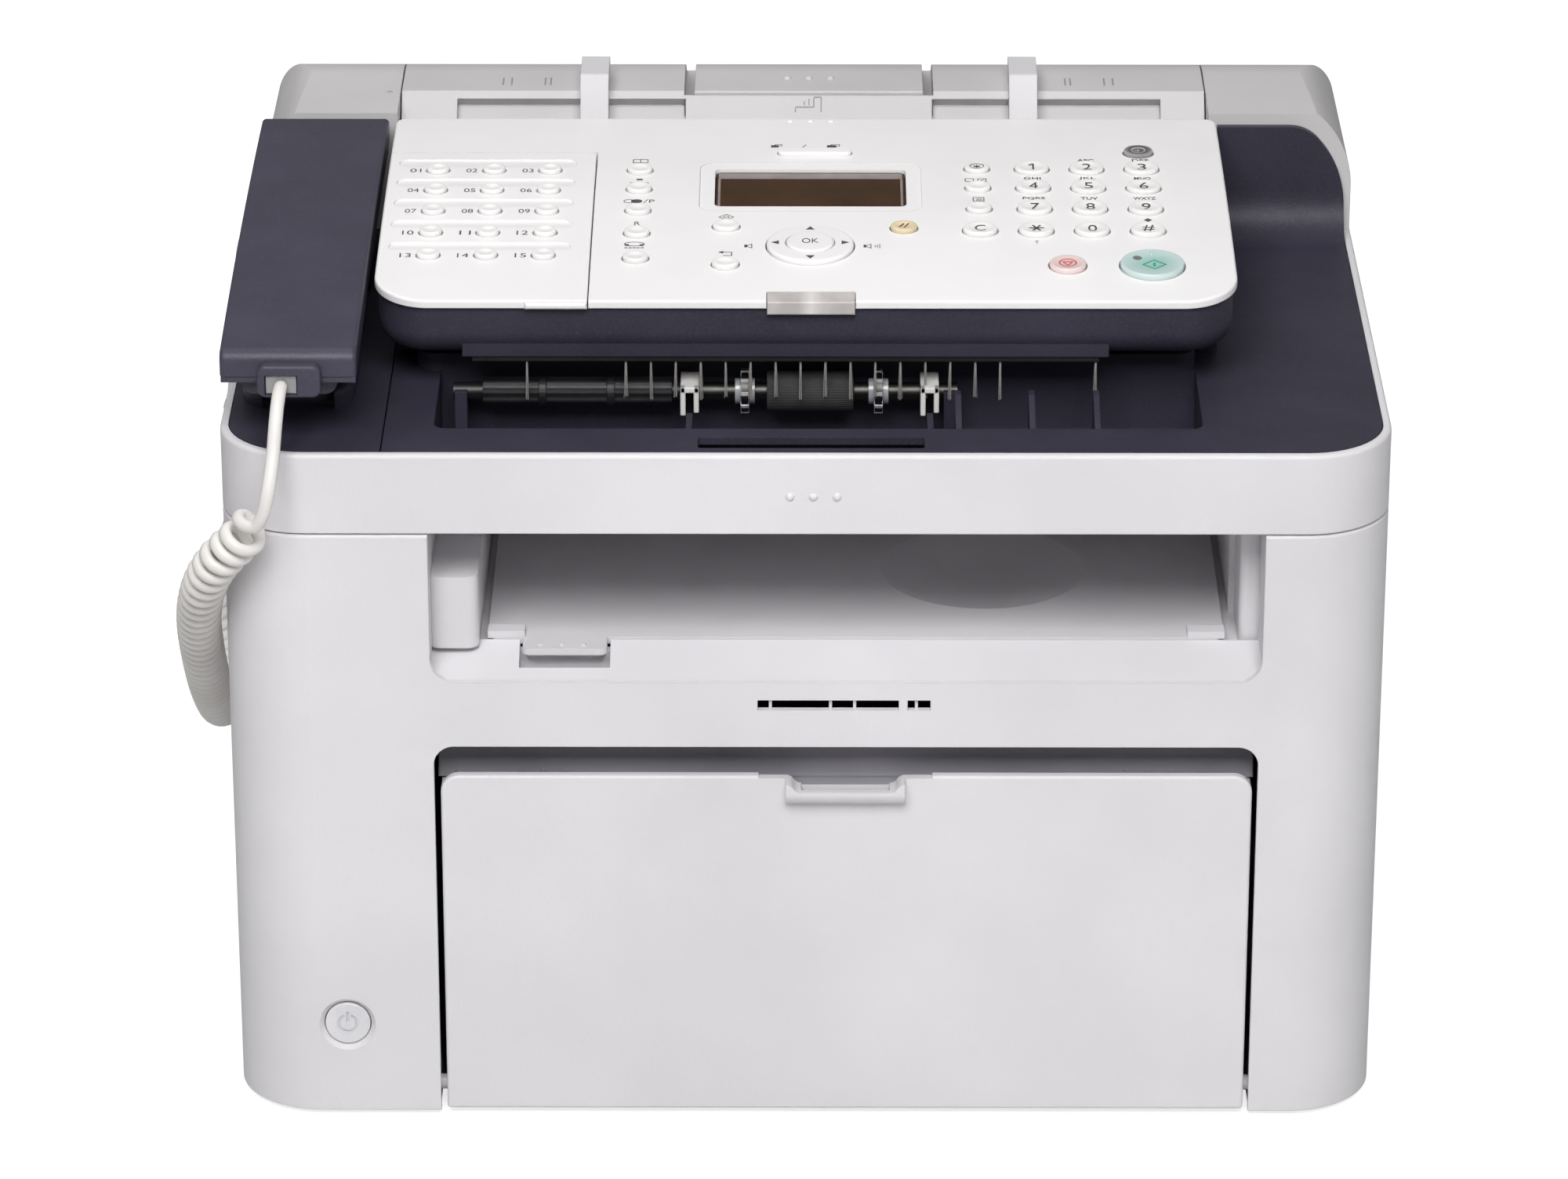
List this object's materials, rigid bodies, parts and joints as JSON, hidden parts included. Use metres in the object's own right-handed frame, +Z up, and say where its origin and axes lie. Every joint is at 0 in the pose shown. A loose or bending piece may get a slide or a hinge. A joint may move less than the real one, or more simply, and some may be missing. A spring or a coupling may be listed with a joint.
{
  "type": "fax machine",
  "caption": "Desktop laser fax machine: handset on a curly cord, tilting key panel with display, document feeder on top, paper outlet and front tray door.",
  "frame": {"origin": "on the table under the middle of the machine's box, cord left out", "axes": "+X to the user's right, +Y to the back, +Z up"},
  "size_m": [0.3926, 0.3162, 0.2845],
  "materials": {
    "case_white": "fine texture",
    "panel_white": "satin",
    "cap_grey": "fine texture",
    "navy": "fine texture",
    "steel": "zinc plated",
    "black_plastic": "satin",
    "board_green": "solder mask",
    "rubber_dark": "matte",
    "smoked": "translucent",
    "lcd_brown": "gloss",
    "lens_clear": "frosted",
    "start_green": "translucent",
    "stop_pink": "translucent",
    "clear_yellow": "satin",
    "energy_grey": "satin",
    "clip_white": "satin",
    "cord_white": "satin"
  },
  "bodies": {
    "chassis": {"base_frame": "steel", "rubber_feet": "rubber_dark", "front_cover": "case_white", "left_cover": "case_white", "right_cover": "case_white", "rear_cover": "case_white", "delivery_liner": "case_white", "laser_scanner": "black_plastic", "toner_cartridge": "black_plastic", "fuser_unit": "black_plastic", "main_motor": "steel", "main_board": "board_green", "power_supply": "board_green", "rear_sockets": "black_plastic", "hinge_brackets": "steel"},
    "printer_cover": {"cover_band": "case_white", "top_deck": "navy", "handset_cradle": "navy", "left_rear_cap": "cap_grey", "right_rear_cap": "cap_grey", "document_tray": "cap_grey", "scan_sensor": "black_plastic", "roller_clips": "clip_white", "handset_cord_lead": "cord_white", "handset_cord_coil": "cord_white", "handset_cord_tail": "cord_white", "base_plug": "lens_clear"},
    "handset": {"handset_back": "navy", "handset_face": "navy", "handset_plug": "lens_clear"},
    "operation_panel": {"panel_bezel": "panel_white", "panel_tub": "navy", "one_touch_plate": "panel_white", "lcd_window": "lcd_brown", "status_lens": "lens_clear", "antistatic_brush": "black_plastic"},
    "power_button": {"power_button": "case_white"},
    "pickup_roller": {"pickup_roller": "rubber_dark"},
    "delivery_roller": {"delivery_roller": "rubber_dark"},
    "tray_door": {"tray_door": "case_white"},
    "dust_cover": {"dust_cover": "smoked"},
    "paper_guide_left": {"paper_guide_left": "clip_white"},
    "paper_guide_right": {"paper_guide_right": "clip_white"},
    "toner_cover": {"toner_cover": "case_white"},
    "document_guide_left": {"document_guide_left": "cap_grey"},
    "document_guide_right": {"document_guide_right": "cap_grey"},
    "document_tray_extension": {"document_tray_extension": "cap_grey"},
    "hook_switch": {"hook_switch": "navy"},
    "eject_roller": {"eject_roller": "rubber_dark"},
    "feed_roller": {"feed_roller": "rubber_dark"},
    "start_key": {"start_key": "start_green"},
    "stop_key": {"stop_key": "stop_pink"},
    "ok_key": {"ok_key": "panel_white"},
    "nav_ring": {"nav_ring": "panel_white"},
    "number_keys": {"number_keys": "panel_white"},
    "one_touch_keys": {"one_touch_keys": "panel_white"},
    "function_keys": {"function_keys": "panel_white"},
    "mode_key": {"mode_key": "panel_white"},
    "clear_key": {"clear_key": "clear_yellow"},
    "energy_key": {"energy_key": "energy_grey"}
  },
  "joints": [
    {"name": "printer_cover_hinge", "type": "hinge", "parent": "chassis", "child": "printer_cover", "pos_m": [0, 0.1355, 0.2125], "axis": [-1, 0, 0], "range_deg": [0, 45]},
    {"name": "panel_hinge", "type": "hinge", "parent": "printer_cover", "child": "operation_panel", "pos_m": [0, 0.046, 0.267], "axis": [-1, 0, 0], "range_deg": [0, 35]},
    {"name": "handset_lift", "type": "slide", "parent": "printer_cover", "child": "handset", "axis": [0, 0, 1], "range_m": [0, 0.12]},
    {"name": "hook_rise", "type": "slide", "parent": "printer_cover", "child": "hook_switch", "axis": [0, 0, 1], "range_m": [0, 0.004]},
    {"name": "document_guide_right_slide", "type": "slide", "parent": "printer_cover", "child": "document_guide_right", "axis": [1, 0, 0], "range_m": [0, 0.038]},
    {"name": "document_guide_left_slide", "type": "slide", "parent": "printer_cover", "child": "document_guide_left", "axis": [1, 0, 0], "range_m": [-0.038, 0]},
    {"name": "document_tray_extension_slide", "type": "slide", "parent": "printer_cover", "child": "document_tray_extension", "axis": [0, 0.6653, 0.7466], "range_m": [0, 0.028]},
    {"name": "feed_roller_spin", "type": "hinge", "parent": "printer_cover", "child": "feed_roller", "pos_m": [0, 0.0025, 0.2335], "axis": [1, 0, 0], "continuous": true},
    {"name": "eject_roller_spin", "type": "hinge", "parent": "printer_cover", "child": "eject_roller", "pos_m": [0, -0.0855, 0.231], "axis": [1, 0, 0], "continuous": true},
    {"name": "tray_door_hinge", "type": "hinge", "parent": "chassis", "child": "tray_door", "pos_m": [0, -0.1405, 0.009], "axis": [1, 0, 0], "range_deg": [0, 85]},
    {"name": "dust_cover_hinge", "type": "hinge", "parent": "tray_door", "child": "dust_cover", "pos_m": [0, -0.1295, 0.042], "axis": [-1, 0, 0], "range_deg": [0, 28]},
    {"name": "paper_guide_left_slide", "type": "slide", "parent": "chassis", "child": "paper_guide_left", "axis": [1, 0, 0], "range_m": [0, 0.03]},
    {"name": "paper_guide_right_slide", "type": "slide", "parent": "chassis", "child": "paper_guide_right", "axis": [1, 0, 0], "range_m": [-0.03, 0]},
    {"name": "pickup_roller_spin", "type": "hinge", "parent": "chassis", "child": "pickup_roller", "pos_m": [0, -0.0075, 0.062], "axis": [1, 0, 0], "continuous": true},
    {"name": "delivery_roller_spin", "type": "hinge", "parent": "chassis", "child": "delivery_roller", "pos_m": [0, 0.06, 0.191], "axis": [1, 0, 0], "continuous": true},
    {"name": "toner_cover_hinge", "type": "hinge", "parent": "chassis", "child": "toner_cover", "pos_m": [0, 0.0445, 0.1575], "axis": [-1, 0, 0], "range_deg": [0, 12]},
    {"name": "power_button_press", "type": "slide", "parent": "chassis", "child": "power_button", "axis": [0, 1, 0], "range_m": [0, 0.002], "stiffness_N_per_m": 400, "springref_m": -0.001},
    {"name": "start_key_press", "type": "slide", "parent": "operation_panel", "child": "start_key", "axis": [0, 0.061, -0.9981], "range_m": [0, 0.001], "stiffness_N_per_m": 800, "springref_m": -0.0006},
    {"name": "stop_key_press", "type": "slide", "parent": "operation_panel", "child": "stop_key", "axis": [0, 0.061, -0.9981], "range_m": [0, 0.001], "stiffness_N_per_m": 800, "springref_m": -0.0006},
    {"name": "ok_key_press", "type": "slide", "parent": "operation_panel", "child": "ok_key", "axis": [0, 0.061, -0.9981], "range_m": [0, 0.001], "stiffness_N_per_m": 800, "springref_m": -0.0006},
    {"name": "nav_ring_press", "type": "slide", "parent": "operation_panel", "child": "nav_ring", "axis": [0, 0.061, -0.9981], "range_m": [0, 0.001], "stiffness_N_per_m": 800, "springref_m": -0.0006},
    {"name": "number_keys_press", "type": "slide", "parent": "operation_panel", "child": "number_keys", "axis": [0, 0.061, -0.9981], "range_m": [0, 0.001], "stiffness_N_per_m": 800, "springref_m": -0.0006},
    {"name": "one_touch_keys_press", "type": "slide", "parent": "operation_panel", "child": "one_touch_keys", "axis": [0, 0.061, -0.9981], "range_m": [0, 0.001], "stiffness_N_per_m": 800, "springref_m": -0.0006},
    {"name": "function_keys_press", "type": "slide", "parent": "operation_panel", "child": "function_keys", "axis": [0, 0.061, -0.9981], "range_m": [0, 0.001], "stiffness_N_per_m": 800, "springref_m": -0.0006},
    {"name": "mode_key_press", "type": "slide", "parent": "operation_panel", "child": "mode_key", "axis": [0, 0.061, -0.9981], "range_m": [0, 0.001], "stiffness_N_per_m": 800, "springref_m": -0.0006},
    {"name": "clear_key_press", "type": "slide", "parent": "operation_panel", "child": "clear_key", "axis": [0, 0.061, -0.9981], "range_m": [0, 0.001], "stiffness_N_per_m": 800, "springref_m": -0.0006},
    {"name": "energy_key_press", "type": "slide", "parent": "operation_panel", "child": "energy_key", "axis": [0, 0.061, -0.9981], "range_m": [0, 0.001], "stiffness_N_per_m": 800, "springref_m": -0.0006}
  ],
  "couplings": [
    {"joint": "hook_rise", "follows": "handset_lift", "ratio": 0.033333},
    {"joint": "document_guide_left_slide", "follows": "document_guide_right_slide", "ratio": -1},
    {"joint": "paper_guide_right_slide", "follows": "paper_guide_left_slide", "ratio": -1},
    {"joint": "eject_roller_spin", "follows": "feed_roller_spin", "ratio": 1.0769}
  ]
}
